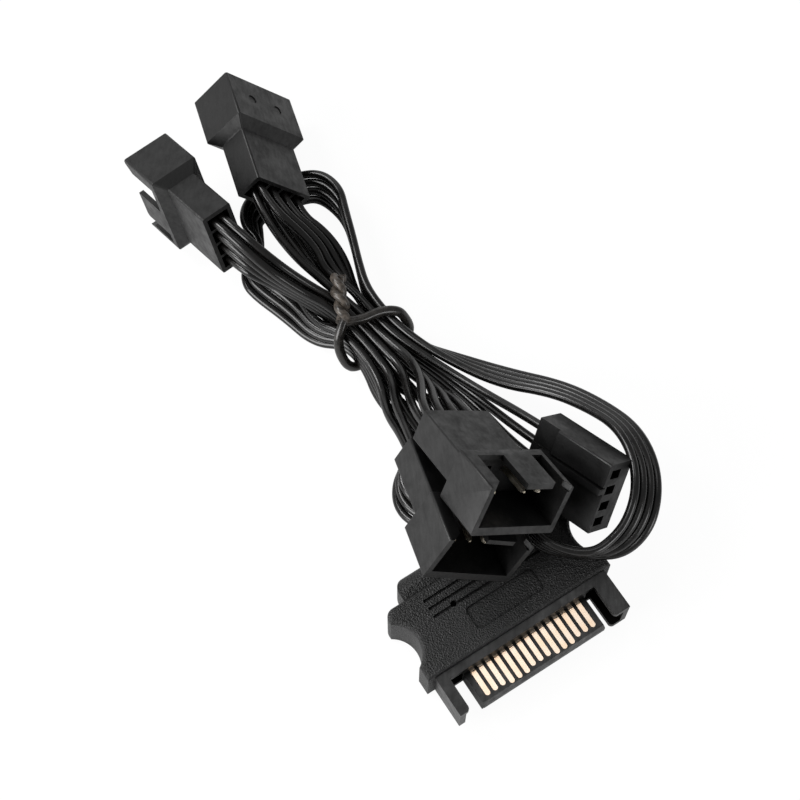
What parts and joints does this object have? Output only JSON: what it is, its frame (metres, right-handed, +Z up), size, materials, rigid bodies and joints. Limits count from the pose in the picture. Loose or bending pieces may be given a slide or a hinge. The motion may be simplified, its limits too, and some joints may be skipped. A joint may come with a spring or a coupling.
{
  "type": "fan splitter cable",
  "caption": "Black fan splitter harness: keyed fan sockets, a header plug and a SATA power plug on flat four-wire ribbons, gathered in loops by a twist tie.",
  "frame": {"origin": "middle of the plugs' and tie's bounding box at table height", "axes": "+Y along the lay of the harness from the SATA plug to the far fan sockets, +Z up from the table"},
  "size_m": [0.0783, 0.0996, 0.0304],
  "materials": {
    "housing": "satin",
    "grip": "fine grain",
    "insert": "satin",
    "pin_metal": "tin plated",
    "contact_gold": "gold plated",
    "wire": "gloss",
    "tie": "satin"
  },
  "bodies": {
    "root": {"fan_socket_1": "housing", "fan_pins_1": "pin_metal", "fan_socket_2": "housing", "fan_pins_2": "pin_metal", "fan_socket_3": "housing", "fan_pins_3": "pin_metal", "fan_socket_4": "housing", "fan_pins_4": "pin_metal", "header_housing": "housing", "header_terminals": "pin_metal", "sata_grip": "grip", "sata_insert": "insert", "sata_contacts": "contact_gold", "twist_tie": "tie", "wire_1_header_1": "wire", "wire_1_header_2": "wire", "wire_1_header_3": "wire", "wire_1_header_4": "wire", "wire_1_3_1": "wire", "wire_1_3_2": "wire", "wire_1_3_3": "wire", "wire_1_3_4": "wire", "wire_2_3_1": "wire", "wire_2_3_2": "wire", "wire_2_3_3": "wire", "wire_2_3_4": "wire", "wire_2_4_1": "wire", "wire_2_4_2": "wire", "wire_2_4_3": "wire", "wire_2_4_4": "wire", "wire_4_sata_1": "wire", "wire_4_sata_2": "wire", "wire_4_sata_3": "wire", "wire_4_sata_4": "wire"}
  },
  "joints": []
}
